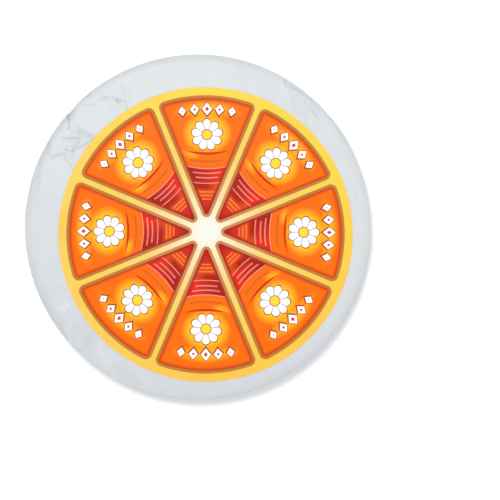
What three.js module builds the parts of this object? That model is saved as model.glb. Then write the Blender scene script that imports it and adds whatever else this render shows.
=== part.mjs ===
// A whole brie wheel, shut in its white foil-backed paper, lying flat with its round label up.
// The paper is smooth on the face and over the shoulder. Its spare width is laid in knife pleats,
// which start low on the shoulder, run down the side and lean in to the middle of the underside.
// Millimetres, +Z up. The origin is the middle of the underside, which rests on the table.
import * as THREE from "three";

// Driving dimensions
const WHEEL_DIAMETER = 240;
const WHEEL_HEIGHT = 27;
const EDGE_DEPTH = 8; // how far in from the rim the face and the underside stop being flat
const EDGE_FULLNESS = 2.8; // 2 is a plain ellipse, more is a squarer shoulder
const LABEL_DIAMETER = 202.4;
const LABEL_THICKNESS = 0.35;
const LABEL_GAP = 0.15; // clear of the paper below, so that the two solids never touch
const LABEL_CENTRE = new THREE.Vector2(5.6, -5); // the label is stuck on a little off the middle

const PLEATS = 28;
const PLEAT_DEPTH_SIDE = 0.9; // from the lying layer down to the layer under it
const PLEAT_DEPTH_UNDER = 0.6;
const PLEAT_START_HEIGHT = 23; // the pleats open below this height
const PLEAT_CENTRE_RADIUS = 16; // inside this the gathered paper is pressed flat
const PLEAT_FULL_RADIUS = 44;
const PLEAT_LEAN_SIDE = THREE.MathUtils.degToRad(3.5); // how far a fold leans round, going down the side
const PLEAT_LEAN_UNDER = THREE.MathUtils.degToRad(24); // and on from there to the middle of the underside
const PLEAT_STEP = 0.07; // share of a pleat's width that its folded edge takes
const PLEAT_RISE_END = 0.6; // from this share on, the layer lies on the outer surface

const CRINKLE_HEIGHT = 0.32; // of the creased paper round the label
const CRINKLE_MARGIN = 1.5; // the paper lies flat this far out from the label's edge
const CRINKLE_FADE = 7; // and is fully creased this far on

const WRAP_COLOUR = 0xdfe3e7;
const LABEL_COLOUR = 0xf4701c;

const rimRadius = WHEEL_DIAMETER / 2;
const flatRadius = rimRadius - EDGE_DEPTH;
const halfHeight = WHEEL_HEIGHT / 2;

// The pleats' widths differ, so each starts at its own angle. The widths fill the whole round.
function pleatStarts() {
  const width = (k) => 1 + 0.3 * Math.sin(2.4 * k + 0.7) + 0.18 * Math.sin(5.3 * k + 1.9);
  const widths = Array.from({ length: PLEATS }, (_, k) => width(k));
  const whole = widths.reduce((sum, w) => sum + w, 0);
  const starts = [0];
  for (const w of widths) {
    starts.push(starts.at(-1) + (w / whole) * 2 * Math.PI);
  }
  return starts;
}

// Where the columns of a pleat stand, as shares of its width: the folded edge, the foot of its step,
// two on the rise and two on the part that lies flat.
const PLEAT_COLUMNS = [0, PLEAT_STEP, 0.25, 0.45, PLEAT_RISE_END, 0.8];

// 0 on the layer below, 1 on the layer that lies outermost.
function pleatRise(share) {
  if (share === 0) {
    return 1;
  }
  return THREE.MathUtils.smoothstep(share, PLEAT_STEP, PLEAT_RISE_END);
}

function pleatDepth(radius, height) {
  if (radius <= flatRadius && height < halfHeight) {
    const reach = THREE.MathUtils.smoothstep(radius, PLEAT_CENTRE_RADIUS, PLEAT_FULL_RADIUS);
    return PLEAT_DEPTH_UNDER * reach;
  }
  if (radius > flatRadius) {
    const down = THREE.MathUtils.smoothstep(PLEAT_START_HEIGHT - height, 0, PLEAT_START_HEIGHT - 2);
    return THREE.MathUtils.lerp(0, PLEAT_DEPTH_SIDE, down);
  }
  return 0;
}

// How far round a fold has leant, from 0 at the shoulder.
function pleatLean(radius, height) {
  if (radius > flatRadius) {
    return PLEAT_LEAN_SIDE * (1 - height / WHEEL_HEIGHT);
  }
  if (height < halfHeight) {
    return PLEAT_LEAN_SIDE + PLEAT_LEAN_UNDER * (1 - radius / flatRadius);
  }
  return 0;
}

// Shallow creases of the face, only in the ring of paper that shows round the label.
function crinkle(x, y) {
  const out = Math.hypot(x - LABEL_CENTRE.x, y - LABEL_CENTRE.y) - LABEL_DIAMETER / 2;
  const open = THREE.MathUtils.smoothstep(out - CRINKLE_MARGIN, 0, CRINKLE_FADE);
  const angle = Math.atan2(y, x);
  const folds =
    Math.abs(Math.sin(7 * angle + 0.05 * x)) +
    Math.abs(Math.sin(11 * angle + 0.11 * y + 1.3)) +
    Math.abs(Math.sin(17 * angle + 2.1));
  return -CRINKLE_HEIGHT * open * (folds / 3);
}

// The wheel's section, from the middle of the underside round the rim to the middle of the face.
function wheelProfile() {
  const underside = [0, PLEAT_CENTRE_RADIUS, 27, PLEAT_FULL_RADIUS, 66, 90, 104];
  const face = [107, 102, 97, 92, 0];
  const sideSteps = 11;
  const points = underside.map((radius) => new THREE.Vector2(radius, 0));
  for (let i = 0; i <= sideSteps; i++) {
    const turn = Math.PI * (i / sideSteps - 0.5);
    const power = 2 / EDGE_FULLNESS;
    const out = Math.cos(turn) ** power;
    const up = Math.sign(turn) * Math.abs(Math.sin(turn)) ** power;
    points.push(new THREE.Vector2(flatRadius + EDGE_DEPTH * out, halfHeight * (1 + up)));
  }
  points.push(...face.map((radius) => new THREE.Vector2(radius, WHEEL_HEIGHT)));
  return points;
}

// Revolves the section, then lays each column of vertices into its pleat.
function wrappedWheel() {
  const columns = PLEATS * PLEAT_COLUMNS.length;
  const geometry = new THREE.LatheGeometry(wheelProfile(), columns);
  geometry.rotateX(Math.PI / 2);
  const starts = pleatStarts();
  const position = geometry.getAttribute("position");
  const rows = position.count / (columns + 1);
  for (let column = 0; column <= columns; column++) {
    const around = column % columns;
    const pleat = Math.floor(around / PLEAT_COLUMNS.length);
    const share = PLEAT_COLUMNS[around % PLEAT_COLUMNS.length];
    const angle = THREE.MathUtils.lerp(starts[pleat], starts[pleat + 1], share);
    const sunk = 1 - pleatRise(share);
    for (let row = 0; row < rows; row++) {
      const i = column * rows + row;
      const radius = Math.hypot(position.getX(i), position.getY(i));
      const height = position.getZ(i);
      const depth = pleatDepth(radius, height) * sunk;
      // The layer sinks straight in towards the cheese: up from the underside, inwards from the rim.
      const inwards = THREE.MathUtils.clamp((radius - flatRadius) / EDGE_DEPTH, 0, 1);
      const upwards = 1 - inwards;
      const turned = angle + pleatLean(radius, height);
      const r = radius - depth * inwards;
      const x = r * Math.cos(turned);
      const y = r * Math.sin(turned);
      const top = height > halfHeight && radius <= flatRadius + EDGE_DEPTH / 2;
      const z = top ? height + crinkle(x, y) : height + depth * upwards;
      position.setXYZ(i, x, y, z);
    }
  }
  geometry.deleteAttribute("normal");
  geometry.deleteAttribute("uv");
  const material = new THREE.MeshStandardMaterial({
    color: WRAP_COLOUR,
    roughness: 0.45,
    metalness: 0.1,
  });
  const mesh = new THREE.Mesh(geometry, material);
  mesh.name = "wrapped_wheel";
  return mesh;
}

// A thin round of printed paper on the face of the wheel.
function label() {
  const radius = LABEL_DIAMETER / 2;
  const section = [
    new THREE.Vector2(0, 0),
    new THREE.Vector2(radius, 0),
    new THREE.Vector2(radius, LABEL_THICKNESS),
    new THREE.Vector2(0, LABEL_THICKNESS),
  ];
  const geometry = new THREE.LatheGeometry(section, 96);
  geometry.rotateX(Math.PI / 2);
  const material = new THREE.MeshStandardMaterial({
    color: LABEL_COLOUR,
    roughness: 0.4,
    metalness: 0,
  });
  const mesh = new THREE.Mesh(geometry, material);
  mesh.name = "label";
  mesh.position.set(LABEL_CENTRE.x, LABEL_CENTRE.y, WHEEL_HEIGHT + LABEL_GAP);
  return mesh;
}

const brieWheel = new THREE.Group();
brieWheel.add(wrappedWheel());
brieWheel.add(label());

export default brieWheel;
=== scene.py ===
"""Looks of a whole brie wheel, shut in white foil-backed paper and lying flat with its round label up.

The paper and the label are surfaces worked out with numpy on the sizes of the frame's nodes. Their print,
creases and sheen are node materials. Metres, +Z up, origin in the middle of the underside.
"""

import math

import bpy
import numpy as np
from bpy.props import FloatProperty, FloatVectorProperty, IntProperty, PointerProperty
from mathutils import Euler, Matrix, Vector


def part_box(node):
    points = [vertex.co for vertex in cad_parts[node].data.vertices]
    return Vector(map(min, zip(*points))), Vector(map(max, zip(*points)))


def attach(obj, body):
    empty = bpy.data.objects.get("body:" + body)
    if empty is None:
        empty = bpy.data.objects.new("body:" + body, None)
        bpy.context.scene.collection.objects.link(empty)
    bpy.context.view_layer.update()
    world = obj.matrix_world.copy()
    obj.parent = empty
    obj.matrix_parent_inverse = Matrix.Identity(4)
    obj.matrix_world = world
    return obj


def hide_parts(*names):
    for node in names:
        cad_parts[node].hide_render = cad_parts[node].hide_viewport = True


bl_info = {
    "name": "Wrapped brie wheel",
    "version": (1, 0, 0),
    "blender": (4, 5, 0),
    "location": "View3D > Sidebar > Brie wheel",
    "description": "Builds a brie wheel in pleated paper under a round label printed in cutting sectors",
    "category": "Add Mesh",
}

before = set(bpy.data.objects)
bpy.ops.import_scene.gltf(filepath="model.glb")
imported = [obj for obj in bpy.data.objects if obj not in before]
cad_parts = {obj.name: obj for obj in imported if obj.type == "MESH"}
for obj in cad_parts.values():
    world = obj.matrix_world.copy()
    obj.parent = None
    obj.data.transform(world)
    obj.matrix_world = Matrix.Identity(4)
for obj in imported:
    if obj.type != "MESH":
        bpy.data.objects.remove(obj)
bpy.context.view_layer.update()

MM = 0.001
DEGREE = math.pi / 180
WHEEL_LOW, WHEEL_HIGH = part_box("wrapped_wheel")
LABEL_LOW, LABEL_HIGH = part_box("label")
LABEL_MIDDLE = ((LABEL_LOW.x + LABEL_HIGH.x) / 2, (LABEL_LOW.y + LABEL_HIGH.y) / 2)


def display_colour(red, green, blue):
    """Linear colour of an 8-bit display colour.

    Each share of 255 below 0.04045 is divided by 12.92. Others are raised to 2.4 with a small offset.
    """

    def linear(level):
        share = level / 255
        return share / 12.92 if share <= 0.04045 else ((share + 0.055) / 1.055) ** 2.4

    return tuple(linear(level) for level in (red, green, blue))


def scalar(name, description, default, **options):
    """A property for a number."""
    return FloatProperty(name=name, description=description, default=default, **options)


def length(name, description, default):
    """A property for a size."""
    return scalar(name, description, default, unit="LENGTH", precision=5)


def whole(name, description, default, least, most):
    """A property for a whole number."""
    return IntProperty(name=name, description=description, default=default, min=least, max=most)


def tint(name, description, red, green, blue):
    """A property for a colour, whose default is an 8-bit display colour."""
    return FloatVectorProperty(
        name=name,
        description=description,
        default=display_colour(red, green, blue),
        subtype="COLOR",
        min=0,
        max=1,
    )


class BRIE_PG_wrap(bpy.types.PropertyGroup):
    """Sizes and colours of the paper shut round the cheese."""

    diameter: length("Diameter", "Width of the wheel over its paper", WHEEL_HIGH.x - WHEEL_LOW.x)
    height: length("Height", "Height of the wheel over its paper", WHEEL_HIGH.z - WHEEL_LOW.z)
    edge_depth: length("Edge depth", "How far in from the rim the face stops being flat", 8 * MM)
    edge_fullness: scalar("Edge fullness", "2 is a plain ellipse, more is squarer", 3.4, min=1.5, max=6)
    pleats: whole("Pleats", "Knife pleats round the wheel", 28, 8, 60)
    pleat_columns: whole("Columns in a pleat", "Columns of the mesh across one pleat", 40, 12, 60)
    pleat_depth_side: length("Pleat depth, side", "From the lying layer down to the one below it", 0.9 * MM)
    pleat_depth_under: length("Pleat depth, underside", "The same on the underside", 0.6 * MM)
    crumple: length("Crumple", "Height of the facets where the paper is most crumpled", 0.9 * MM)
    paper: tint("Paper", "Lacquered side of the paper", 191, 195, 198)
    # Painted shade: the paper's colour towards the low left, where less light falls.
    paper_shaded: tint("Paper, dull side", "Where the lacquer has rubbed off a little", 187, 191, 195)
    # Painted light: the colour of facets painted paler, as if tilted to the light.
    pale: tint("Paper, pale facets", "Facets that a crease has lifted", 216, 219, 221)
    # Bruise and painted shade: the colour of the creases' dark lines, of their shaded flanks and of the
    # shaded facets.
    crease_bruise_and_shade: tint("Crease", "Where creases have bruised the lacquer", 150, 156, 163)
    roughness: scalar("Roughness", "Of the lacquered paper", 0.5, min=0, max=1, subtype="FACTOR")


class BRIE_PG_label(bpy.types.PropertyGroup):
    """Sizes and colours of the round printed label."""

    diameter: length("Diameter", "Width of the label", LABEL_HIGH.x - LABEL_LOW.x)
    thickness: length("Thickness", "Of the label's paper", 0.2 * MM)
    hub_offset: FloatVectorProperty(
        name="Hub offset",
        description="Where the spokes meet, from the middle of the label",
        default=(0.6 * MM, 1.8 * MM),
        size=2,
        unit="LENGTH",
    )
    print_turn: scalar("Print turn", "Of the print on the label", -0.3 * DEGREE, unit="ROTATION")
    sectors: whole("Sectors", "Portions in the print", 8, 4, 12)
    panel_edge: length("Panel edge", "Radius at which the panels end and the plain ring starts", 95.6 * MM)
    spoke_width: length("Spoke width", "Of the plain bars between the panels", 3.3 * MM)
    ring: tint("Ring", "Outer ring and the ends of the spokes", 240, 187, 69)
    panel: tint("Panel", "Ground of the panels", 240, 101, 10)
    glow: tint("Glow", "Lighter ground round the blossom", 242, 170, 34)
    outline: tint("Outline", "Line round each panel", 168, 114, 50)
    band: tint("Band", "Red band across each panel", 207, 41, 30)
    tip: tint("Tip", "Deep red ground of the panels' tips", 186, 39, 25)
    blossom: tint("Blossom", "Petals and lozenges", 250, 249, 244)


class BRIE_PG_stage(bpy.types.PropertyGroup):
    """Floor, light and camera."""

    floor: tint("Floor", "Plain pale floor", 248, 248, 248)
    key_power: scalar("Key light", "Soft light above", 7.8, unit="POWER")
    right_power: scalar("Right light", "Weak low light", 2.1, unit="POWER")
    left_power: scalar("Left light", "Weak low light", 2.8, unit="POWER")
    ambient: scalar("Ambient", "Even white light", 0.75, min=0)
    frame_width: length("Frame width", "What the camera takes in at the height of the face", 343.2 * MM)
    lens: scalar("Lens", "Focal length", 91, unit="CAMERA")


def smooth_step(value, start, end):
    """0 before start, 1 after end, and 3t² - 2t³ of the share t between them."""
    t = np.clip((value - start) / (end - start), 0, 1)
    return t * t * (3 - 2 * t)


# Folded facets: their size as a share of the wheel's radius, and their random seed.
LARGE_FACETS = (0.16, 11)
SMALL_FACETS = (0.07, 23)
TALL_FACETS = (0.045, 37)
FOLD_ROWS = 97  # rows of random corners, more than any grid has


def folded_facets(along, across, size, seed):
    """Paper folded on a grid of triangles: its height, the share of the way to the nearest fold, and a tone.

    The plane, bent a little by sines, is cut into skewed squares of the size and each square into two
    triangles. Every corner has a random height from 0 to 1, and a triangle is flat between its three
    corners and has one random tone from 0 to 1. The grid closes on itself after one round along.
    """
    rng = np.random.default_rng(seed)
    round_count = max(3, round(2 * math.pi / size))
    cell = 2 * math.pi / round_count
    heights = rng.uniform(0, 1, (round_count, FOLD_ROWS))
    tones = rng.uniform(0, 1, (2, round_count, FOLD_ROWS))
    turns = np.round(rng.uniform(0.25, 0.5, 4) * round_count)
    bend_a = 0.3 * np.sin(turns[0] * along + 2.1 * across / cell) + 0.2 * np.sin(turns[1] * along + 1)
    bend_b = 0.3 * np.sin(turns[2] * along + 4) + 0.2 * np.sin(turns[3] * along - 2.9 * across / cell)
    a = (along + 0.5 * across) / cell + bend_a
    b = across / (0.87 * cell) + bend_b
    i, j = np.floor(a).astype(int), np.floor(b).astype(int)
    f, g = a - i, b - j

    def corner(di, dj):
        return heights[(i + di) % round_count, (j + dj) % FOLD_ROWS]

    low = corner(0, 0) + f * (corner(1, 0) - corner(0, 0)) + g * (corner(0, 1) - corner(0, 0))
    high = corner(1, 1) + (1 - f) * (corner(0, 1) - corner(1, 1)) + (1 - g) * (corner(1, 0) - corner(1, 1))
    in_low = f + g < 1
    low_fold = np.minimum(np.minimum(f, g), 1 - f - g)
    high_fold = np.minimum(np.minimum(1 - f, 1 - g), f + g - 1)
    tone = tones[in_low.astype(int), i % round_count, j % FOLD_ROWS]
    return np.where(in_low, low, high), np.where(in_low, low_fold, high_fold), tone


def patches(points, seed, size):
    """Slow patches, about 0 to 1: three crossed sines of about that size, summed."""
    rng = np.random.default_rng(seed)
    waves = [np.sin(points @ rng.normal(0, 2.2 / size, 3) + rng.uniform(0, 6.28)) for _ in range(3)]
    return 0.5 + sum(waves) / 4.2


FIRST_RING = 3 * MM  # radius of the section's first row
FACE_REACH = 20 * MM  # how far in the face's rows go, to below the label
UNDER_ROWS = 28
EDGE_ROWS = 37  # odd, so that the middle one lies on the rim
RIM_ROW = UNDER_ROWS + EDGE_ROWS // 2
FACE_ROWS = 30
COARSE_ROWS = UNDER_ROWS + 7  # the rows below this one have every second column only


def way_along(radii, heights):
    """The way along a section from its first row to each row: the sum of the straight pieces."""
    out = np.diff(radii, axis=0, prepend=radii[:1])
    up = np.diff(heights, axis=0, prepend=heights[:1])
    return np.cumsum(np.hypot(out, up), axis=0)


def wheel_rows(wrap):
    """Radii and heights of the rows, from near the middle of the underside round the rim to the face.

    Both flats are straight. Between them the edge is half a superellipse: with a turn from -90 to 90
    degrees, it lies depth times the cosine and half the height times the sine away from its own centre,
    each raised to 2 over the fullness. The edge's rows are as far apart as each other along its curve.
    """
    flat = wrap.diameter / 2 - wrap.edge_depth
    under = np.linspace(FIRST_RING, flat, UNDER_ROWS)
    turn = np.linspace(-90, 90, 1441) * DEGREE
    power = 2 / wrap.edge_fullness
    curve_radius = flat + wrap.edge_depth * np.abs(np.cos(turn)) ** power
    curve_height = wrap.height / 2 * (1 + np.sign(turn) * np.abs(np.sin(turn)) ** power)
    way = way_along(curve_radius, curve_height)
    even = np.linspace(0, way[-1], EDGE_ROWS + 2)[1:-1]
    edge_radius = np.interp(even, way, curve_radius)
    edge_height = np.interp(even, way, curve_height)
    face = np.linspace(flat, flat - FACE_REACH, FACE_ROWS)
    radii = np.concatenate((under, edge_radius, face))
    heights = np.concatenate((np.zeros_like(under), edge_height, np.full_like(face, wrap.height)))
    return radii, heights


def row_normals(radii, heights):
    """Outward direction of each row in the section's plane: its tangent turned a quarter round."""
    along_r = np.gradient(radii, axis=0)
    along_z = np.gradient(heights, axis=0)
    size = np.hypot(along_r, along_z)
    return along_z / size, -along_r / size


PLEAT_EDGE = 0.03  # share of a pleat's width in which its folded edge drops
PLEAT_STEP = 0.07  # from this share the layer rises again
PLEAT_RISE_END = 0.6  # and from this one it lies on the outer surface
PLEAT_START_HEIGHT = 23 * MM
PLEAT_CENTRE_RADIUS = 16 * MM
PLEAT_FULL_RADIUS = 44 * MM
PLEAT_LEAN_SIDE = 3.5 * DEGREE
PLEAT_LEAN_UNDER = 24 * DEGREE


def pleat_columns(pleats, columns):
    """Angle of each column before it leans, its share of its pleat's width, and its pleat's number.

    A pleat's width is 1 plus two sines of its number, and the widths fill the round. Columns crowd to
    the folded edge, because a column's share is its place in the pleat raised to 1.15.
    """
    number = np.arange(pleats)
    widths = 1 + 0.3 * np.sin(2.4 * number + 0.7) + 0.18 * np.sin(5.3 * number + 1.9)
    starts = np.concatenate(([0], np.cumsum(widths / widths.sum()))) * 2 * math.pi
    share = (np.arange(columns) / columns) ** 1.15
    angles = starts[:-1, None] + share * np.diff(starts)[:, None]
    return angles.ravel(), np.tile(share, pleats), np.repeat(number, columns)


def pleat_sink(radii, heights, share, number, wrap):
    """How far the paper sinks in its pleats: the pleat's depth times its fold.

    The fold is 1 on the layer below and 0 on the outer one. It drops at the folded edge and rises back
    along the pleat. The depth opens down the side and closes to the middle of the underside. Each pleat
    starts at a height of its own.
    """
    flat = wrap.diameter / 2 - wrap.edge_depth
    fold = smooth_step(share, 0, PLEAT_EDGE) - smooth_step(share, PLEAT_STEP, PLEAT_RISE_END)
    start = PLEAT_START_HEIGHT + 1.6 * MM * np.sin(1.7 * number + 0.4)
    strength = 0.88 + 0.12 * np.sin(3.1 * number + 2.0)
    side = wrap.pleat_depth_side * smooth_step(start - heights, 0, 15 * MM)
    under = wrap.pleat_depth_under * smooth_step(radii, PLEAT_CENTRE_RADIUS, PLEAT_FULL_RADIUS)
    depth = np.where(radii > flat, side, np.where(heights < wrap.height / 2, under, 0))
    return depth * strength * fold


def pleat_lean(radii, heights, wrap):
    """How far round each row's folds have leant: slightly down the side, and on towards the middle below."""
    flat = wrap.diameter / 2 - wrap.edge_depth
    side = PLEAT_LEAN_SIDE * (1 - heights / wrap.height)
    under = PLEAT_LEAN_SIDE + PLEAT_LEAN_UNDER * (1 - radii / flat)
    return np.where(radii > flat, side, np.where(heights < wrap.height / 2, under, 0))


# Creases of the face and the shoulder, in millimetres. A row starts with the half width and the darkness
# of the dark line, a bruise with painted shade in the fold, the depth of the fold, its reach to the right
# and to the left, and how much painted shade greys its flanks. The places on the line follow, each as
# degrees round from +X and the way from the middle.
CREASES = (
    (0.88, 0.85, 0.64, 1, 4.6, 0.42, 137.7, 120, 138.9, 118.7, 140, 116.5),
    (0.48, 0.68, 0.4, 0.8, 3, 0.13, 140, 116.5, 141.1, 113.4, 142.4, 110.9),
    (0.36, 0.47, 0.24, 0.6, 1.6, 0.09, 145, 116.6, 144, 113.8, 142.7, 111.2),
    (0.56, 0.51, 0.32, 0.8, 2.4, 0.13, 146.7, 111.2, 145.8, 109.3, 144.8, 105.5, 142.9, 101.5),
    (0.3, 0.09, 0.4, 0.5, 4.5, 0.34, 139.1, 96.1, 139.9, 106.3),
    (
        0.4, 0.85, 0.4, 0.7, 3, 0.13, 149.6, 105.1, 149.1, 101.5, 147.7, 99.8,
        145.9, 98.1, 143.9, 95.8, 140.3, 93.9,
    ),
    (0.4, 0.59, 0.28, 0.6, 2, 0.09, 147.7, 101.7, 145.9, 101.1, 143.7, 100.3),
    (0.64, 0.51, 0.32, 0.8, 2, 0.13, 154.6, 110.6, 153.2, 109.1, 152.1, 106.9, 151.3, 105),
    (0.64, 0.3, 0.28, 1.2, 3.2, 0.17, 152.4, 103.2, 153.3, 100.6, 153.7, 97.8, 154.8, 94.3),
    (0.48, 0.38, 0.24, 0.6, 1.6, 0.09, 148.8, 100.3, 150.6, 97.8),
    (0.48, 0.34, 0.16, 0.6, 1.2, 0.09, 146.3, 106.6, 146.9, 105),
    (0.48, 0.38, 0.16, 0.6, 1.2, 0.09, 142.9, 109.4, 143.4, 107.9),
    (0.56, 0.47, 0.24, 0.7, 1.6, 0.09, 127.7, 110.4, 126.6, 109.1, 125.5, 108.1),
    (
        0.36, 0.38, 0.28, 2.6, 0.7, 0.1, 125.9, 111.3, 124.9, 108.6, 123.4, 107.3,
        122, 104.2, 121.2, 101.9, 119.8, 99.9,
    ),
    (0.88, 0.64, 0.32, 0.8, 2.2, 0.17, 122.4, 103.7, 122.4, 101.5),
    (0.4, 0.47, 0.28, 2.4, 0.7, 0.13, 120.1, 100.3, 120.3, 97.9, 120.6, 94.5),
    (0.48, 0.34, 0.24, 0.8, 3, 0.09, 118, 111.8, 118.9, 107.8, 119.6, 103.7),
    (0.56, 0.3, 0.24, 0.8, 2.4, 0.09, 116.6, 103.9, 117.6, 100.1, 118.8, 97.2),
    (0.64, 0.26, 0.2, 0.8, 2.6, 0.09, 133.1, 114.5, 131.7, 112.3, 129.7, 109.8),
    (0.8, 0.77, 0.32, 0.8, 1.4, 0.17, 129.5, 118.4, 128.4, 118.1),
    (0.72, 0.68, 0.32, 0.8, 1.2, 0.09, 131.6, 118.3, 130.6, 118.1),
    (0.56, 0.34, 0.16, 0.8, 1.2, 0.09, 133.7, 118.4, 133.1, 118.5),
    (0.64, 0.26, 0.16, 0.8, 1.6, 0.09, 142.7, 118.1, 141.2, 116.8),
    (0.3, 0, 0.28, 3, 2.5, 0.34, 149.7, 118.4, 153.8, 117.8, 157.7, 116.7, 162, 114.7, 166.9, 112.9),
    (0.3, 0, 0.16, 1.6, 1.6, 0.21, 149.6, 118.1, 152.2, 115.7, 154.8, 113.7),
    (0.72, 0.77, 0.16, 0.8, 1.2, 0.04, 59.5, 119.4, 58.9, 117.2),
    (0.56, 0.64, 0.32, 2, 0.8, 0.26, 55.2, 116.5, 53.6, 116.9, 52.2, 117.1),
    (0.64, 0.42, 0.16, 0.8, 1.2, 0.09, 52.8, 113.3, 52.5, 114.1),
    (0.72, 0.38, 0.16, 0.8, 1.4, 0.04, 60.1, 111.8, 59.8, 110.5),
    (0.72, 0.09, 0.2, 2.2, 2.2, 0.17, 59, 116.1, 56.3, 114.9),
    (0.48, 0.07, 0.16, 0.8, 2.6, 0.14, 56.5, 115.4, 54.6, 110.9, 52.5, 107.2, 50.7, 104.3),
    (0.56, 0.12, 0.16, 0.7, 2, 0.07, 50.7, 104.3, 48.7, 104.4, 46.3, 106.8),
    (0.56, 0.12, 0.16, 0.8, 2.4, 0.1, 51.7, 115.4, 49.3, 113.5, 47.4, 111.9),
    (0.88, 0.17, 0.2, 2.8, 0.8, 0.13, 48.4, 113.1, 46.7, 112, 44.7, 111.8, 42.8, 112.5),
    (0.48, 0.1, 0.16, 2, 0.7, 0.07, 42.8, 112.5, 40.4, 112.1, 38.4, 111.9, 36.6, 111.4),
    (0.56, 0.14, 0.2, 0.8, 2.4, 0.12, 51, 116.6, 48.8, 117.6, 46.6, 117.2),
    (0.4, 0.12, 0.16, 1.6, 0.6, 0.07, 45.1, 117, 43.5, 117.3, 41.5, 117.2),
    (0.48, 0.07, 0.2, 1.8, 2.4, 0.14, 44.1, 118.3, 39.5, 118.5, 34.5, 118.2, 29.4, 117.9),
    (0.64, 0.3, 0.16, 0.8, 1.4, 0.04, 28.1, 118.9, 26.1, 117.6),
    (0.56, 0.34, 0.16, 0.8, 1.2, 0.04, 17.4, 117.9, 16.4, 116.9),
    (0.3, 0.21, 0.16, 0.6, 1.6, 0.05, 14.1, 111.4, 9.7, 111.8),
    (0.4, 0.3, 0.16, 0.6, 1, 0.04, 5.5, 108.5, 4.8, 110.5),
    (0.48, 0.3, 0.16, 0.6, 1, 0.04, 6.8, 117.3, 6.2, 118.7),
    (0.64, 0.26, 0.16, 0.8, 1.4, 0.09, 349.6, 116.7, 348.5, 117.8),
    (0.3, 0, 0.24, 2, 6, 0.34, 193.5, 117.2, 200.5, 117.7, 207.5, 118.1, 215.5, 117.8),
    (0.4, 0.3, 0.16, 0.6, 1.4, 0.09, 203, 104.3, 204.5, 101.4),
    (0.4, 0.3, 0.16, 0.6, 1.4, 0.09, 205.6, 100.6, 206.6, 99.9),
    (0.48, 0.21, 0.16, 0.8, 2.4, 0.13, 219, 112.8, 220.8, 114.6),
    (0.48, 0.42, 0.16, 0.8, 1.2, 0.09, 220, 108.7, 220.2, 107.1),
    (0.4, 0.3, 0.16, 0.6, 1, 0.04, 218.8, 103.2, 218.6, 101.6),
    (0.36, 0.34, 0.24, 0.7, 2.8, 0.13, 227.5, 111.6, 227, 107.9, 225.7, 102.9),
    (0.64, 0.51, 0.16, 0.8, 1.2, 0.09, 218.7, 118.4, 220.1, 118.1),
    (0.64, 0.42, 0.16, 0.8, 1.6, 0.09, 225.6, 118.4, 227.3, 116),
    (0.3, 0, 0.16, 4, 4, 0.13, 239.6, 111, 250, 115.4),
)

# Facets between the creases, painted lighter or darker as light falls on them: how much painted shade each
# gets, where below 0 it is painted paler than the paper round it, and then its corners, round to the left,
# as places of the same kind.
LIT_AND_SHADED_FACETS = (
    (0.85, 142, 111.6, 137.8, 118, 137.4, 119.9, 139.9, 119.1),
    (0.22, 140.1, 114.9, 138.5, 110.9, 136, 116.9, 137.7, 119),
    (0.22, 142.4, 106.2, 141.7, 98.7, 139, 95.8, 139.7, 106.2),
    (0.3, 143.1, 104.3, 141.3, 101.5, 139.9, 105.1, 141.6, 107.2),
    (0.2, 141.3, 96.1, 138, 93.9, 139.1, 97.5, 142.4, 100.4),
    (0.25, 146.8, 109.7, 144.4, 102.5, 142.6, 101.8, 146.2, 111.8),
    (0.12, 148.1, 100.6, 145.7, 98, 143.8, 99.8, 147.9, 101.6),
    (-0.2, 149.9, 97.9, 146.3, 94.1, 146.2, 97, 148.6, 100.4),
    (0.1, 153.2, 100.7, 151.8, 97.3, 149.1, 100.7, 150.3, 106.1),
    (0.28, 154.6, 109.3, 152.3, 104.3, 150.9, 105.2, 152.3, 108.9, 153.8, 112.1),
    (0.14, 127.5, 108.9, 124, 104.7, 122.6, 106.8, 124.2, 109.3, 127.3, 111.3),
    (0.26, 123.6, 102, 122.1, 99.9, 120.7, 102.8, 123.2, 107.1),
    (0.1, 119.4, 103.5, 118.7, 97.2, 117, 103.4, 118.3, 110.4),
    (0.2, 155.2, 113.9, 154.2, 111.7, 149.7, 116.2, 150.2, 119.7),
    (0.12, 144.1, 118.6, 142.3, 114.9, 140.5, 117.8, 142.4, 122.5),
    (0.2, 57.5, 112.1, 55.7, 115.4, 57.3, 119, 59.2, 116.5),
    (0.18, 50.8, 103.3, 49.9, 104.9, 53.4, 112.9, 54.9, 110.8),
    (0.3, 52.2, 116.3, 49.7, 119.6, 52.5, 120.7, 55.6, 118.2),
    (0.22, 47, 111, 42.9, 111.3, 43, 114, 47.7, 115.4, 48.9, 113.2),
    (0.16, 48.1, 115.7, 46.3, 118.4, 48.7, 120.5, 51.1, 116.7),
    (0.16, 38.8, 116.7, 37.9, 119.6, 42.2, 120, 44.2, 118.4),
    (0.2, 30.4, 116.5, 29.1, 119, 33.6, 120, 35.5, 118.2),
    (-0.42, 209.8, 111.5, 212.9, 108.9, 212.1, 103.5, 210.4, 101.9, 208.9, 104.8),
    (0.08, 215.1, 114.2, 218.1, 111.6, 218.7, 103.3, 213.8, 100.1, 207.8, 101.9),
    (0.1, 224.9, 116.5, 227.2, 110.8, 225.4, 103.1, 221, 99.4, 218.3, 109.9),
    (-0.14, 233.1, 112.8, 234.4, 110.2, 230.3, 102.6, 228.9, 103.9),
    (-0.22, 235.5, 113.6, 237.3, 112.7, 236.9, 109.3, 234.4, 110.7),
    (0.35, 220.4, 119.7, 221.4, 117.4, 217.8, 114.8, 216.1, 117.7),
    (0.1, 244.1, 119.6, 250.4, 118.4, 246.7, 108.6, 237.9, 110.5),
)

# How strongly the paper is crumpled round the wheel: degrees round from +X, spread in degrees, strength.
CRUMPLED = ((143, 14, 0.45), (47, 13, 0.4), (222, 18, 0.35), (10, 16, 0.15))


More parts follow.
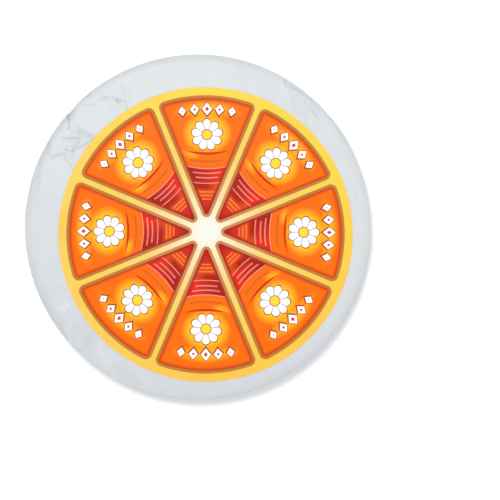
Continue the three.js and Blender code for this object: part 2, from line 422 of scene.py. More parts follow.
def side_of_line(x, y, points):
    """Distance in the plane to an open line, positive to its left.

    It is the least over the line's straight pieces, each to the nearest point of it. The side is that
    of the nearest piece, from the cross product of its direction and the way to the point.
    """
    nearest = np.full(x.shape, np.inf)
    side = np.ones_like(x)
    for (ax, ay), (bx, by) in zip(points[:-1], points[1:]):
        dx, dy = bx - ax, by - ay
        t = np.clip(((x - ax) * dx + (y - ay) * dy) / (dx * dx + dy * dy), 0, 1)
        away = np.hypot(x - ax - t * dx, y - ay - t * dy)
        closer = away < nearest
        nearest = np.where(closer, away, nearest)
        side = np.where(closer, np.sign(dx * (y - ay) - dy * (x - ax)), side)
    return nearest * side


def flat_places(numbers):
    """Places in metres from polar ones, which alternate between degrees and millimetres."""
    polar = zip(numbers[::2], numbers[1::2])
    return [(r * MM * math.cos(a * DEGREE), r * MM * math.sin(a * DEGREE)) for a, r in polar]


def facet_light_and_shade(x, y):
    """Sum of the facets' painted light and shade: each times its cover, which rises from 0 to 1 within half
    a millimetre of its outline. Inside a convex outline the distance to it is the least of those to its
    edges' lines.
    """
    tone = np.zeros_like(x)
    for grey, *corners in LIT_AND_SHADED_FACETS:
        places = flat_places(corners)
        inside = np.full_like(x, np.inf)
        for (ax, ay), (bx, by) in zip(places, places[1:] + places[:1]):
            across = ((bx - ax) * (y - ay) - (by - ay) * (x - ax)) / math.hypot(bx - ax, by - ay)
            inside = np.minimum(inside, across)
        tone += grey * np.clip(0.5 + inside / (0.5 * MM), 0, 1)
    return tone


def crease_fields(x, y):
    """Depth of the placed creases, and the three numbers from which their looks are painted.

    A crease is a valley whose two flanks rise as straight slopes, mostly a short steep one and a long
    gentle one, so that it reads as a fold between two facets. The looks are the distance to the nearest
    dark line, as a share of its half width and signed by the side, then how dark that line is there, as
    bruise and painted shade, and the painted light and shade of the flanks and placed facets.
    """
    depth = np.zeros_like(x)
    nearest = np.full_like(x, 9)
    dark = np.zeros_like(x)
    grey = facet_light_and_shade(x, y)
    for half_width, darkness, deep, right, left, tone, *line in CREASES:
        side = side_of_line(x, y, flat_places(line)) / MM
        flank = np.clip(1 - np.where(side > 0, side / left, -side / right), 0, 1)
        depth = np.maximum(depth, deep * MM * flank)
        grey += tone * flank
        closer = (np.abs(side / half_width) < np.abs(nearest)) & (darkness > 0)
        nearest = np.where(closer, side / half_width, nearest)
        near = 1 - smooth_step(np.abs(side), half_width + 0.4, half_width + 1)
        dark = np.where(closer, darkness * near, dark)
    return depth, np.stack((nearest, dark, np.clip(grey, -1, 1)), axis=-1)


def crumpled_share(angle):
    """How crumpled the paper is at an angle round the wheel: a low level, and bells at crumpled places."""
    share = np.full_like(angle, 0.08)
    for middle, spread, strength in CRUMPLED:
        off = (angle / DEGREE - middle + 180) % 360 - 180
        share = np.maximum(share, strength * np.exp(-((off / spread) ** 2)))
    return share


def band_faces(index):
    """Four-sided faces between neighbouring rows of points that close round."""
    here, above = index[:-1], index[1:]
    return np.stack((here, np.roll(here, -1, 1), np.roll(above, -1, 1), above), axis=-1).reshape(-1, 4)


def stitch_faces(coarse, fine):
    """Triangles between a row and the next one up, which has twice its columns."""
    ahead = np.roll(coarse, -1)
    even, odd = fine[0::2], fine[1::2]
    lower = np.stack((coarse, ahead, odd), axis=-1)
    behind = np.stack((coarse, odd, even), axis=-1)
    before = np.stack((ahead, np.roll(even, -1), odd), axis=-1)
    return np.concatenate((lower, behind, before))


def fan_faces(ring, pole):
    """Triangles from a row to a pole beyond it, seen from the pole's side to run round to the left."""
    return np.stack((np.full_like(ring, pole), ring, np.roll(ring, -1)), axis=-1)


def closed_mesh(name, blocks, pole_low, pole_high):
    """A mesh closed at both ends, of blocks of rings and one point beyond each end.

    A block is an array (rows, columns, 3), and the next one has as many columns or twice as many. Rings
    run round to the left, and climb the outside, so that the faces point outwards.
    """
    indices = []
    first = 0
    for block in blocks:
        count = block.shape[0] * block.shape[1]
        indices.append(np.arange(first, first + count).reshape(block.shape[:2]))
        first += count
    quads = np.concatenate([band_faces(index) for index in indices])
    bottom = fan_faces(indices[0][0], first)[:, ::-1]
    top = fan_faces(indices[-1][-1], first + 1)
    joints = [stitch_faces(low[-1], high[0]) for low, high in zip(indices[:-1], indices[1:])]
    triangles = np.concatenate([bottom, top, *joints])
    corners = np.concatenate((triangles.ravel(), quads.ravel()))
    sizes = np.concatenate((np.full(len(triangles), 3), np.full(len(quads), 4)))
    points = np.concatenate([*(block.reshape(-1, 3) for block in blocks), [pole_low], [pole_high]])

    mesh = bpy.data.meshes.new(name)
    mesh.vertices.add(len(points))
    mesh.vertices.foreach_set("co", points.ravel())
    mesh.loops.add(len(corners))
    mesh.loops.foreach_set("vertex_index", corners.astype(np.int32))
    mesh.polygons.add(len(sizes))
    mesh.polygons.foreach_set("loop_start", (np.cumsum(sizes) - sizes).astype(np.int32))
    mesh.update(calc_edges=True)
    mesh.validate()
    mesh.shade_smooth()
    return mesh


def add_crease_looks(mesh, looks):
    """Stores the creases' three numbers at the points of a closed mesh, whose two poles have no crease."""
    crease = mesh.attributes.new("crease", "FLOAT_VECTOR", "POINT")
    crease.data.foreach_set("vector", np.append(looks, (9, 0, 0, 9, 0, 0)).astype(np.float32))


def read(items, name, width=3, kind=np.float32):
    """One attribute of all points, corners or faces of a mesh, in rows of that width."""
    values = np.empty((len(items), width), kind)
    items.foreach_get(name, values.ravel())
    return values


def face_corners(mesh):
    """For each corner of the faces: its point's number, and the number of its face."""
    vertex = read(mesh.loops, "vertex_index", 1, np.int32).ravel()
    sizes = read(mesh.polygons, "loop_total", 1, np.int32).ravel()
    return vertex, np.repeat(np.arange(len(sizes)), sizes)


def add_bake_map(mesh, places):
    """Stores where each corner of the faces lies on the square that the finish can be baked on."""
    mesh.uv_layers.new(name="OFBake").uv.foreach_set("vector", places.astype(np.float32).ravel())


def small_round(out):
    """Places in a small round in the corner of a bake map, from places in a round of radius 1."""
    return 0.09 + out * 0.08


def add_wrap_map(mesh, wrap):
    """The wrap's places on its bake map, where each row becomes a circle as wide as the way to it is long.

    The half above the rim is an outer ring, and the half below the rim is a round inside that. The face
    under the label is a small round in a corner.
    """
    radii, heights = wheel_rows(wrap)
    way = radii[0] + way_along(radii, heights)
    columns = wrap.pleats * wrap.pleat_columns
    coarse = np.repeat(np.arange(COARSE_ROWS), columns // 2)
    fine = np.repeat(np.arange(COARSE_ROWS, len(radii)), columns)
    row = np.concatenate((coarse, fine, [0, len(radii)]))
    lower = 0.34 * way / way[RIM_ROW]
    upper = 0.495 - 0.14 * (way - way[RIM_ROW]) / (way[-1] - way[RIM_ROW])
    vertex, face = face_corners(mesh)
    highest = np.zeros(len(mesh.polygons), int)
    np.maximum.at(highest, face, row[vertex])
    highest = highest[face, None]
    points = read(mesh.vertices, "co")[:, :2]
    size = np.hypot(*points.T)
    out = (points / np.maximum(size, 1e-9)[:, None])[vertex]
    place = np.minimum(row, len(radii) - 1)[vertex, None]
    ring = 0.5 + out * np.where(highest <= RIM_ROW, lower[place], upper[place])
    add_bake_map(mesh, np.where(highest == len(radii), small_round(out), ring))


def wrap_blocks(wrap):
    """Points of the paper in two blocks of rings, and the looks of its creases at each point.

    The section's rows are carried round the columns. Each point then sinks along its row's normal by its
    pleat, by the placed creases, and by folded facets that are deep where the paper is crumpled. Down the
    side there are tall narrow facets too. The looks get painted light and shade on the folded facets,
    painted shade along the folds below the face, and a painted shadow in the fold that tucks under each
    pleat. Since the paper only sinks, its outermost layers keep to the frame's own size.
    """
    radii, heights = (row[:, None] for row in wheel_rows(wrap))
    angles, share, number = pleat_columns(wrap.pleats, wrap.pleat_columns)
    turned = angles + pleat_lean(radii, heights, wrap)
    x = radii * np.cos(turned)
    y = radii * np.sin(turned)

    out_of_label = np.hypot(x - LABEL_MIDDLE[0], y - LABEL_MIDDLE[1]) - (LABEL_HIGH.x - LABEL_LOW.x) / 2
    face = smooth_step(heights, 12 * MM, 20 * MM)
    open_paper = 1 - face * smooth_step(-out_of_label, -2 * MM, 2 * MM)
    across = way_along(radii, heights) / (wrap.diameter / 2) + np.zeros_like(turned)
    large, large_fold, large_tone = folded_facets(turned, across, *LARGE_FACETS)
    small, small_fold, small_tone = folded_facets(turned, across, *SMALL_FACETS)
    gathered, _, _ = folded_facets(turned, 0.4 * across, *TALL_FACETS)
    crumpled = crumpled_share(turned)
    side = 1 - smooth_step(heights, 16 * MM, 25 * MM)
    amount = np.maximum(crumpled * face, 0.4 * side) * open_paper
    pressed = smooth_step(radii, PLEAT_CENTRE_RADIUS, PLEAT_FULL_RADIUS)
    crumple = wrap.crumple * amount * (0.6 * large + 0.4 * small) * pressed
    crumple += 0.3 * wrap.crumple * gathered * side * pressed
    valley, looks = crease_fields(x, y)
    # Painted light and shade: the folded facets a little lighter or darker at random, and painted shade
    # along their folds down the side and under the wheel.
    folds = np.maximum(1 - large_fold / 0.04, 0.7 * (1 - small_fold / 0.08))
    facet_shading = (0.6 * large_tone + 0.4 * small_tone - 0.5) * (0.16 + 0.8 * crumpled) * open_paper
    looks[..., 1] *= face
    looks[..., 2] = (looks[..., 2] + facet_shading) * face + 0.5 * np.clip(folds, 0, 1) * (1 - face) * pressed
    pleat = pleat_sink(radii, heights, share, number, wrap)
    # Painted shadow in the fold that tucks under each pleat.
    tuck_shadow = smooth_step(pleat, 0.25 * MM, 0.6 * MM) * (1 - smooth_step(share, PLEAT_STEP, 2 * PLEAT_STEP))
    looks[..., 2] += 0.8 * tuck_shadow

    sink = pleat + crumple + valley * face
    normal_r, normal_z = row_normals(radii, heights)
    r = radii - sink * normal_r
    z = heights - sink * normal_z
    points = np.stack((r * np.cos(turned), r * np.sin(turned), z), axis=-1)
    zones = np.s_[:COARSE_ROWS, ::2], np.s_[COARSE_ROWS:]
    return [points[zone] for zone in zones], np.concatenate([looks[zone].reshape(-1, 3) for zone in zones])


LABEL_COLUMNS = 360
LABEL_BACK_ROWS = 6
LABEL_FACE_ROWS = 92


def label_points(label, wrap):
    """Points of the label in rings, from the middle of its back round its edge to the middle of its face.

    A flat round of paper with a slow wave, a slightly ragged edge, and faint creases over those of the
    paper below it.
    """
    radius = label.diameter / 2
    angle = np.arange(LABEL_COLUMNS) / LABEL_COLUMNS * 2 * math.pi
    back = np.linspace(30 * MM, radius, LABEL_BACK_ROWS)
    face = np.append(radius, np.linspace(radius - 0.4 * MM, 1.5 * MM, LABEL_FACE_ROWS))
    radii = np.concatenate((back, face))[:, None]
    top = np.concatenate((np.zeros_like(back), np.ones_like(face)))[:, None]
    ragged = 0.10 * MM * np.sin(9 * angle + 1) + 0.06 * MM * np.sin(31 * angle)
    torn = np.exp(-(((angle / DEGREE - 142) / 6) ** 2)) * 0.16 * MM * np.sin(77 * angle)
    edge = smooth_step(radii, radius - 4 * MM, radius)
    r = radii - (0.2 * MM + ragged + torn) * edge
    x = LABEL_MIDDLE[0] + r * np.cos(angle)
    y = LABEL_MIDDLE[1] + r * np.sin(angle)
    flat = np.stack((x, y, np.zeros_like(x)), axis=-1)
    valley, looks = crease_fields(x, y)
    wave = 0.14 * MM * patches(flat, 31, 34 * MM)
    z = wrap.height + 0.03 * MM + label.thickness * top + np.clip(wave, 0, None) * top
    z -= np.minimum(0.25 * valley, 0.6 * label.thickness) * top
    return np.stack((x, y, z), axis=-1), looks.reshape(-1, 3)


def add_label_map(mesh, label):
    """The label's places on its bake map: its face fills it, and its back is a small round in a corner.

    The edge is a thin ring round the face.
    """
    vertex, face = face_corners(mesh)
    up = read(mesh.polygons, "normal")[face, 2:]
    points = read(mesh.vertices, "co")
    low = points[vertex, 2:] < points[:, 2].min() + label.thickness / 2
    out = (points[vertex, :2] - LABEL_MIDDLE) / (label.diameter / 2)
    face_or_edge = 0.5 + out * np.where(low, 0.495, 0.485)
    add_bake_map(mesh, np.where(up < -0.5, small_round(out), face_or_edge))


def joined(operation):
    """A method that joins a field with another one, or with a number, by a Math node."""
    return lambda self, other: self.math(operation, other)


class Field:
    """A number at each point of a surface, worked out by Math nodes and written as plain arithmetic."""

    def __init__(self, tree, socket):
        self.tree = tree
        self.socket = socket

    def math(self, operation, *others):
        """The result of a Math node on the field and the others, which are fields or numbers."""
        node = self.tree.nodes.new("ShaderNodeMath")
        node.operation = operation
        for slot, operand in zip(node.inputs, (self, *others)):
            if isinstance(operand, Field):
                self.tree.links.new(operand.socket, slot)
            else:
                slot.default_value = operand
        return Field(self.tree, node.outputs["Value"])

    __add__ = __radd__ = joined("ADD")
    __sub__ = joined("SUBTRACT")
    __mul__ = joined("MULTIPLY")
    __truediv__ = joined("DIVIDE")
    __pow__ = joined("POWER")
    least = joined("MINIMUM")
    most = joined("MAXIMUM")

    def __rsub__(self, number):
        return self.math("MULTIPLY_ADD", -1, number)

    def __abs__(self):
        return self.math("ABSOLUTE")

    def folded(self, half):
        """The field's distance from the nearest whole multiple of twice the half, with its sign."""
        return self.math("WRAP", half, -half)

    def inside(self, soft):
        """1 where the field is below 0 and 0 where it is above, fading over soft."""
        share = 0.5 - self / soft
        share.socket.node.use_clamp = True
        return share


def long_side(a, b):
    """The length whose square is the sum of two squares."""
    return (a * a + b * b).math("SQRT")


def rounded_meet(a, b, radius):
    """Distance outside a shape that lies inside both edges a and b, where their corner is rounded."""
    out_a = a + radius
    out_b = b + radius
    return long_side(out_a.most(0), out_b.most(0)) + out_a.most(out_b).least(0) - radius


def opaque(colour):
    """A node's colour. A tuple is an 8-bit display colour, and a property's colour is linear already."""
    linear = display_colour(*colour) if isinstance(colour, tuple) else colour
    return (*linear, 1)


class Coat:
    """A colour at each point of a surface, painted in layers by Mix nodes."""

    def __init__(self, tree, colour):
        self.tree = tree
        self.colour = colour

    def feed(self, slot):
        """Puts the colour into a node's input."""
        if isinstance(self.colour, bpy.types.NodeSocket):
            self.tree.links.new(self.colour, slot)
        else:
            slot.default_value = opaque(self.colour)

    def paint(self, over, share):
        """Covers the colour by another one, or by another coat, where share is 1."""
        node = self.tree.nodes.new("ShaderNodeMix")
        node.data_type = "RGBA"
        factor, first, second = node.inputs[0], node.inputs[6], node.inputs[7]
        self.tree.links.new(share.socket, factor)
        self.feed(first)
        upper = over if isinstance(over, Coat) else Coat(self.tree, over)
        upper.feed(second)
        self.colour = node.outputs[2]
        return self


def gradient(field, reach, stops):
    """A coat that runs through the stops, each a place in the field's own unit and a colour."""
    node = field.tree.nodes.new("ShaderNodeValToRGB")
    field.tree.links.new((field / reach).socket, node.inputs["Fac"])
    ramp = node.color_ramp
    while len(ramp.elements) < len(stops):
        ramp.elements.new(1)
    for element, (place, colour) in zip(ramp.elements, stops):
        element.position = place / reach
        element.color = opaque(colour)
    return Coat(field.tree, node.outputs["Color"])


def noise(tree, vector, scale, detail=2, roughness=0.5):
    """Blender's noise, 0 to 1, on a vector."""
    node = tree.nodes.new("ShaderNodeTexNoise")
    node.inputs["Scale"].default_value = scale
    node.inputs["Detail"].default_value = detail
    node.inputs["Roughness"].default_value = roughness
    tree.links.new(vector, node.inputs["Vector"])
    return Field(tree, node.outputs["Fac"])


def axes(tree, vector):
    """The three numbers of a vector."""
    node = tree.nodes.new("ShaderNodeSeparateXYZ")
    tree.links.new(vector, node.inputs["Vector"])
    return [Field(tree, node.outputs[axis]) for axis in "XYZ"]


def crease_looks(tree):
    """How much of a dark crease line covers the point, as bruise and painted shade, and the painted light
    and shade of flanks and facets, from the creases' three numbers.
    """
    node = tree.nodes.new("ShaderNodeAttribute")
    node.attribute_name = "crease"
    side, dark, grey = axes(tree, node.outputs["Vector"])
    return (1.5 - abs(side) * 1.5).most(0).least(1) * dark, grey


def new_material(name):
    """A node material with its node tree and its shader."""
    material = bpy.data.materials.new(name)
    material.use_nodes = True
    tree = material.node_tree
    return material, tree, tree.nodes["Principled BSDF"]


def finish_paper(shader, base, rough, specular, relief, distance, strength):
    """Gives a shader its colour, roughness and sheen, and a relief whose full range is the distance."""
    tree = base.tree
    base.feed(shader.inputs["Base Color"])
    tree.links.new(rough.socket, shader.inputs["Roughness"])
    shader.inputs["Specular IOR Level"].default_value = specular
    node = tree.nodes.new("ShaderNodeBump")
    node.inputs["Distance"].default_value = distance
    node.inputs["Strength"].default_value = strength
    tree.links.new(relief.socket, node.inputs["Height"])
    tree.links.new(node.outputs["Normal"], shader.inputs["Normal"])


def lacquered_paper(wrap):
    """White lacquered foil paper with painted shade towards the low left, dark broken crease lines of bruise
    and painted shade, painted light and shade on facets, and a satin sheen.
    """
    material, tree, shader = new_material("lacquered_paper")
    place = tree.nodes.new("ShaderNodeTexCoord").outputs["Object"]
    line, grey = crease_looks(tree)
    line = line * (noise(tree, place, 420) * 2.8 - 0.85).most(0.2).least(1)
    x, y, _ = axes(tree, place)
    # Painted shade: a share that darkens the paper towards the low left, broken by slow noise.
    low_left = x * -3.8 - y * 10.4
    painted_shade_share = low_left + (noise(tree, place, 26) - 0.5) * 0.9
    base = Coat(tree, wrap.paper)
    base.paint(wrap.paper_shaded, painted_shade_share.most(0).least(1))
    # Painted light where the creases' grey is below 0, painted shade on flanks and facets where it is above,
    # and dark lines of bruise and painted shade.
    base.paint(wrap.pale, (grey * -0.5).most(0))
    base.paint(wrap.crease_bruise_and_shade, (grey * 0.5).most(0))
    base.paint(wrap.crease_bruise_and_shade, line)
    rough = wrap.roughness + (noise(tree, place, 90, 3) - 0.5) * 0.16 + line * 0.12
    relief = noise(tree, place, 700, 3, 0.6) * 0.1 - line
    finish_paper(shader, base, rough, 0.3, relief, 0.2 * MM, 0.8)
    return material


def printed_paper(label):
    """The label's print: rounded panels between pale spokes, each with lozenges, a blossom and a red band.

    Everything is worked out in millimetres round the point where the spokes meet. The round is folded
    into one sector, with u outwards along its axis, v to its side and turn the angle from the axis. Only
    the panels' outer edges keep to the middle of the label, which is reach away.
    """
    material, tree, shader = new_material("printed_paper")
    hub_x, hub_y = label.hub_offset
    mapping = tree.nodes.new("ShaderNodeMapping")
    mapping.vector_type = "TEXTURE"
    mapping.inputs["Location"].default_value = (LABEL_MIDDLE[0] + hub_x, LABEL_MIDDLE[1] + hub_y, 0)
    mapping.inputs["Rotation"].default_value = (0, 0, label.print_turn)
    mapping.inputs["Scale"].default_value = (MM, MM, MM)
    place = tree.nodes.new("ShaderNodeTexCoord").outputs["Object"]
    tree.links.new(place, mapping.inputs["Vector"])
    x, y, _ = axes(tree, mapping.outputs["Vector"])

    half_sector = math.pi / label.sectors
    radius = long_side(x, y)
    turn = y.math("ARCTAN2", x).folded(half_sector)
    u = radius * turn.math("COSINE")
    v = radius * turn.math("SINE")
    reach = long_side(x + hub_x / MM, y + hub_y / MM)

    edge = panel_distance(u, abs(v), reach, label, half_sector)
    depth = 0 - edge
    panel = panel_ground(u, v, radius, turn, label)
    add_band(panel, u, v, label)
    add_tip_lines(panel, u, v)
    add_dashes(panel, u, v)
    add_lozenges(panel, radius, turn, label)
    add_daisy(panel, u, v, label)
    near_hub = (radius - 46).inside(30)
    shade = Coat(tree, (184, 60, 16)).paint((146, 30, 10), near_hub)
    panel.paint(shade, ((depth - 2.5) / (radius * 0.014 + 1.3) - 0.5).inside(1))
    outline = Coat(tree, label.outline).paint((181, 124, 81), near_hub)
    panel.paint(outline, (depth - OUTLINE_WIDTH).inside(0.7))

    base = gradient(radius, 100, SPOKE_STOPS)
    base.paint(ring_tone(tree, x, y, label), (77.5 - radius).inside(17))
    base.paint(panel, (edge + 0.05).inside(0.55))
    base.paint((120, 60, 24), ((noise(tree, place, 60) - 0.5) * 0.35).most(0))
    # Darker along the creases' lines under the label: a bruise in the ink and painted shade in the fold.
    line, _ = crease_looks(tree)
    base.paint((96, 66, 40), line * 0.8)
    rough = 0.42 + (noise(tree, place, 120) - 0.5) * 0.14
    relief = noise(tree, place, 420, 3, 0.6)
    finish_paper(shader, base, rough, 0.04, relief, 0.05 * MM, 0.35)
    return material


# Colours outwards along a spoke: near white at the middle, through cream to yellow.
SPOKE_STOPS = (
    (0, (220, 220, 213)),
    (5.5, (219, 218, 206)),
    (9.6, (222, 214, 196)),
    (13.7, (232, 210, 176)),
    (20.6, (240, 206, 158)),
    (31, (240, 197, 137)),
    (41, (240, 191, 107)),
    (55, (240, 191, 95)),
    (69, (240, 187, 85)),
)

# The print's places and sizes, in millimetres outwards from its middle.
TIP_ROUND = 3.5  # radius of a panel's inner end
CORNER_ROUND = 4.8
OUTLINE_WIDTH = 2
TIP_LINES = ((22.4, 3.0), (24.9, 4.1), (27.4, 5.0))  # each at a place, with its half length
BAND_INNER, BAND_OUTER = 33.5, 43
BAND_LINES = ((40.1, 9.5, 1.5), (37.0, 7.5, 1.2))  # each also with its pitch
DASH_PLACE = 48.2
SWEEP_PLACE = 53.7
BLOSSOM_PLACE = 66.7
BLOSSOM_RADIUS = 10.6
PETALS = 9
LOZENGE_PLACE = 84.3
LOZENGE_PITCH = 8.6
LOZENGE_HALF_WIDTH, LOZENGE_HALF_HEIGHT = 3.5, 4.3


def ring_tone(tree, x, y, label):
    """The ring's yellow: more lemon towards the top, warmer towards the bottom, paler to the left."""
    ring = Coat(tree, label.ring)
    for place, tone in ((y, (240, 200, 69)), (0 - y, (240, 172, 69)), (0 - x, (240, 187, 98))):
        ring.paint(tone, (place * 0.005).most(0))
    return ring


def panel_distance(u, side, reach, label, half_sector):
    """Millimetres outside a panel, negative inside it.

    A sector between two spokes is set in by the tip's radius, the distance to it is taken, and the radius
    is taken off again, which rounds the tip. The outer corners are rounded where the sector meets the arc.
    """
    cos, sin = math.cos(half_sector), math.sin(half_sector)
    inset = label.spoke_width / MM / 2 + TIP_ROUND
    apex = inset / sin
    across = side * cos - (u - apex) * sin
    along = (u - apex) * cos + side * sin
    sector = long_side(across.most(0), along.least(0)) + across.least(0) - TIP_ROUND
    return rounded_meet(sector, reach - label.panel_edge / MM, CORNER_ROUND)


def bowed(u, v):
    """Distance outwards along lines that bow towards the middle of the print, their ends further out."""
    return u - v * v / 110


def panel_ground(u, v, radius, turn, label):
    """The panel's ground: deep red tip, orange outside the band, glows, and one thin tapered sweep."""
    stops = (
        (11, (147, 24, 6)),
        (16.5, (176, 30, 18)),
        (19.5, label.tip),
        (22, label.tip),
        (24, (199, 70, 20)),
        (27.5, (200, 75, 24)),
        (30, (167, 30, 17)),
        (BAND_INNER, (151, 24, 8)),
        (BAND_OUTER, (216, 90, 24)),
        (46, label.panel),
    )
    place = bowed(u, v)
    ground = gradient(place, 100, stops)
    lit = (v + 3).inside(6) * (abs(place - 31) - 3).inside(2)
    ground.paint((199, 68, 26), lit * 0.9)
    blossom_reach = long_side(u - BLOSSOM_PLACE - 1, v * 0.86)
    ground.paint(label.glow, ((blossom_reach - 10) / 5 - 0.5).inside(1))
    lozenge_reach = long_side(radius - LOZENGE_PLACE, turn * LOZENGE_PLACE / 4)
    ground.paint(label.glow, ((lozenge_reach - 2.2) / 4 - 0.5).inside(1) * 0.8)
    shine = long_side((place - SWEEP_PLACE + 1.6) / 2, (v - 11) / 4)
    ground.paint(label.glow, (shine - 1).inside(1.6) * 0.8)
    taper = 0.8 - (v / 16) * (v / 16) * 0.8
    ground.paint((184, 45, 8), (abs(place - SWEEP_PLACE) - taper).inside(0.5))
    return ground


def add_band(panel, u, v, label):
    """A bowed red band, dark at one side and bright at the other, with a pale rim and two broken lines."""
    place = bowed(u, v)
    across = abs(place - (BAND_INNER + BAND_OUTER) / 2) - (BAND_OUTER - BAND_INNER) / 2
    stops = ((5, (145, 25, 20)), (16, (177, 36, 29)), (23, label.band), (30, (190, 32, 22)))
    panel.paint((232, 146, 112), (across - 0.55).inside(0.4))
    panel.paint(gradient(16 - v, 32, stops), across.inside(0.4))
    for row, reach, pitch in BAND_LINES:
        marks = abs(v.folded(pitch / 2)) - 0.36 * pitch
        broken = (abs(place - row) - 0.42).most(marks).most(abs(v) - reach)
        panel.paint((244, 160, 136), broken.inside(0.35) * 0.8)


def add_tip_lines(panel, u, v):
    """Three short warm lines across the tip."""
    for place, reach in TIP_LINES:
        line = (abs(u - place) - 0.38).most(abs(v) - reach)
        panel.paint((255, 128, 60), line.inside(0.5) * 0.8)


def add_dashes(panel, u, v):
    """A bowed row of small darker dashes."""
    marks = abs(v.folded(1)) - 0.68
    row = (abs(bowed(u, v) - DASH_PLACE) - 0.75).most(marks).most(abs(v) - 11.6)
    panel.paint((136, 78, 34), row.inside(0.45) * 0.7)


def add_lozenges(panel, radius, turn, label):
    """Five white lozenges along an arc, smaller to the ends: a red middle, a brown line and its shadow."""
    pitch = LOZENGE_PITCH / LOZENGE_PLACE
    number = (turn / pitch).math("ROUND").least(2).most(-2)
    side = (turn - number * pitch) * LOZENGE_PLACE
    size = 1 - abs(number) * 0.13

    def shape(shift):
        height = abs(radius - LOZENGE_PLACE + shift) / LOZENGE_HALF_HEIGHT
        return (abs(side) / LOZENGE_HALF_WIDTH + height - size) * 2.7

    brown = (138, 58, 24)
    panel.paint(brown, (shape(0.55) - 0.75).inside(0.7) * 0.9)
    panel.paint(brown, (shape(0) - 0.45).inside(0.4))
    panel.paint(label.blossom, shape(0).inside(0.4))
    panel.paint((204, 46, 38), (shape(0) + 1.55).inside(0.4))


def add_daisy(panel, u, v, label):
    """A nine-petalled blossom round a yellow eye. Its reach swells with the cosine of the angle."""
    outwards = u - BLOSSOM_PLACE
    reach = long_side(outwards, v)
    lobe = abs((v.math("ARCTAN2", outwards) * (PETALS / 2)).math("COSINE"))
    petals = reach - BLOSSOM_RADIUS * 0.66 - lobe**0.55 * (BLOSSOM_RADIUS * 0.34)
    panel.paint((120, 52, 26), (petals - 0.75).inside(0.6))
    panel.paint(label.blossom, petals.inside(0.4))
    gap = (lobe - 0.3) * 2.4
    fold = gap.most(3.4 - reach).inside(0.7) * (petals + 0.2).inside(0.4)
    panel.paint((140, 156, 190), fold * 0.85)
    shade = (abs(lobe - 0.62) - 0.18).most(abs(reach - 5.2) - 1.5).inside(0.5)
    panel.paint((196, 212, 236), shade * 0.6)
    panel.paint((170, 84, 30), (reach - 3.9).inside(0.5))
    panel.paint((255, 200, 58), (reach - 3.2).inside(0.5))


def plain_paper():
    """Uncoated white back and edge of the label: nearly white, with slow fibre tone."""
    material, tree, shader = new_material("label_back")
    place = tree.nodes.new("ShaderNodeTexCoord").outputs["Object"]
    base = Coat(tree, (236, 234, 228)).paint((222, 219, 211), noise(tree, place, 300, 3))
    base.feed(shader.inputs["Base Color"])
    shader.inputs["Roughness"].default_value = 0.85
    return material


def add_object(name, data):
    """A new object, linked to the scene."""
    item = bpy.data.objects.new(name, data)
    bpy.context.scene.collection.objects.link(item)
    return item


def add_piece(name, mesh, materials, node):
    """Adds a finished mesh as a piece that rides on the wheel's one body and stands for a node."""
    piece = add_object(name, mesh)
    for material in materials:
        mesh.materials.append(material)
    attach(piece, "root")
    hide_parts(node)


class BRIE_OT_paper_wrap(bpy.types.Operator):
    """Adds the pleated and creased paper over the whole cheese"""

    bl_idname = "brie.paper_wrap"
    bl_label = "Add paper wrap"

    def execute(self, context):
        wrap = context.scene.brie_wrap
        blocks, looks = wrap_blocks(wrap)
        mesh = closed_mesh("paper_wrap", blocks, (0, 0, 0), (0, 0, wrap.height))
        add_crease_looks(mesh, looks)
        add_wrap_map(mesh, wrap)
        add_piece("paper_wrap", mesh, [lacquered_paper(wrap)], "wrapped_wheel")
        return {"FINISHED"}


class BRIE_OT_printed_label(bpy.types.Operator):
    """Adds the round label on the face of the wheel"""

    bl_idname = "brie.printed_label"
    bl_label = "Add printed label"

    def execute(self, context):
        label = context.scene.brie_label
        rings, looks = label_points(label, context.scene.brie_wrap)
        poles = (*LABEL_MIDDLE, rings[0, 0, 2]), (*LABEL_MIDDLE, rings[-1, :, 2].mean())
        mesh = closed_mesh("printed_label", [rings], *poles)
        add_crease_looks(mesh, looks)
        add_label_map(mesh, label)
        add_piece("printed_label", mesh, [printed_paper(label), plain_paper()], "label")
        back = read(mesh.polygons, "normal")[:, 2] < 0.5
        mesh.polygons.foreach_set("material_index", back.astype(np.int32))
        return {"FINISHED"}


FLOOR_CORNERS = ((-6, -6, 0), (6, -6, 0), (6, 6, 0), (-6, 6, 0))
LAMP_DISTANCE = 1.2
CAMERA_AIM = (36.1 * MM, -15.7 * MM)  # the place in the plane that the camera looks down on


def disk_light(name, size, power, elevation, clock):
    """A round lamp aimed at the wheel, at an elevation in degrees and a number of degrees right of +Y."""
    data = bpy.data.lights.new(name, "AREA")
    data.shape = "DISK"
    data.size = size
    data.energy = power
    lamp = add_object(name, data)
    lamp.location = (0, LAMP_DISTANCE, 0)
    lamp.location.rotate(Euler((elevation * DEGREE, 0, -clock * DEGREE)))
    lamp.rotation_euler = (-lamp.location).to_track_quat("-Z", "Y").to_euler()


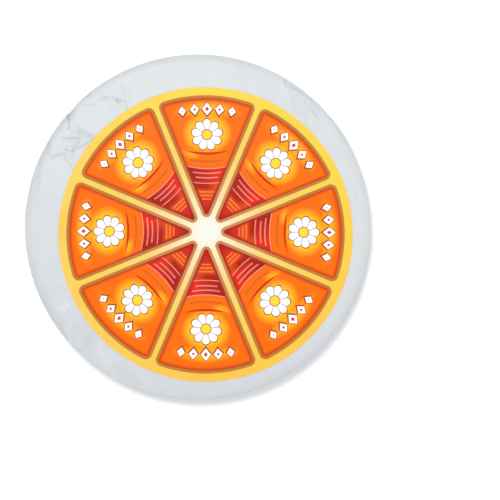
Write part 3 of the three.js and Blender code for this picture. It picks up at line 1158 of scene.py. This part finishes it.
class BRIE_OT_stage(bpy.types.Operator):
    """Sets the floor, the soft light and the camera that looks straight down on the label"""

    bl_idname = "brie.stage"
    bl_label = "Set stage"

    def execute(self, context):
        stage = context.scene.brie_stage
        scene = context.scene
        material, _, shader = new_material("pale_floor")
        shader.inputs["Base Color"].default_value = opaque(stage.floor)
        shader.inputs["Roughness"].default_value = 0.9
        shader.inputs["Specular IOR Level"].default_value = 0.1
        mesh = bpy.data.meshes.new("floor")
        mesh.from_pydata(FLOOR_CORNERS, [], [(0, 1, 2, 3)])
        mesh.materials.append(material)
        floor = add_object("floor", mesh)

        disk_light("key", 0.3, stage.key_power, 77, -18)
        disk_light("right_fill", 0.5, stage.right_power, 12, 92)
        disk_light("left_fill", 0.5, stage.left_power, 12, 208)

        world = bpy.data.worlds.new("even_light")
        world.use_nodes = True
        background = world.node_tree.nodes["Background"]
        background.inputs["Color"].default_value = (1, 1, 1, 1)
        background.inputs["Strength"].default_value = stage.ambient
        scene.world = world
        scene.view_settings.view_transform = "Standard"

        optics = bpy.data.cameras.new("camera")
        optics.lens = stage.lens
        optics.sensor_width = 36
        optics.clip_end = 20
        above = stage.frame_width * stage.lens / optics.sensor_width
        scene.camera = add_object("camera", optics)
        scene.camera.location = (*CAMERA_AIM, WHEEL_HIGH.z + above)
        return {"FINISHED"}


class BRIE_PT_wheel(bpy.types.Panel):
    """Lists the steps and the sizes of the brie wheel."""

    bl_label = "Brie wheel"
    bl_idname = "BRIE_PT_wheel"
    bl_space_type = "VIEW_3D"
    bl_region_type = "UI"
    bl_category = "Brie wheel"

    def draw(self, context):
        for operator, settings, group in STEPS:
            box = self.layout.box()
            box.operator(operator.bl_idname)
            for name in group.__annotations__:
                box.prop(getattr(context.scene, settings), name)


# Each step's operator, and the name and the group of its settings.
STEPS = (
    (BRIE_OT_paper_wrap, "brie_wrap", BRIE_PG_wrap),
    (BRIE_OT_printed_label, "brie_label", BRIE_PG_label),
    (BRIE_OT_stage, "brie_stage", BRIE_PG_stage),
)


def register():
    for operator, settings, group in STEPS:
        bpy.utils.register_class(group)
        bpy.utils.register_class(operator)
        setattr(bpy.types.Scene, settings, PointerProperty(type=group))
    bpy.utils.register_class(BRIE_PT_wheel)


def unregister():
    bpy.utils.unregister_class(BRIE_PT_wheel)
    for operator, settings, group in reversed(STEPS):
        delattr(bpy.types.Scene, settings)
        bpy.utils.unregister_class(operator)
        bpy.utils.unregister_class(group)


def main():
    register()
    bpy.ops.brie.paper_wrap()
    bpy.ops.brie.printed_label()
    bpy.ops.brie.stage()


if __name__ == "__main__":
    main()
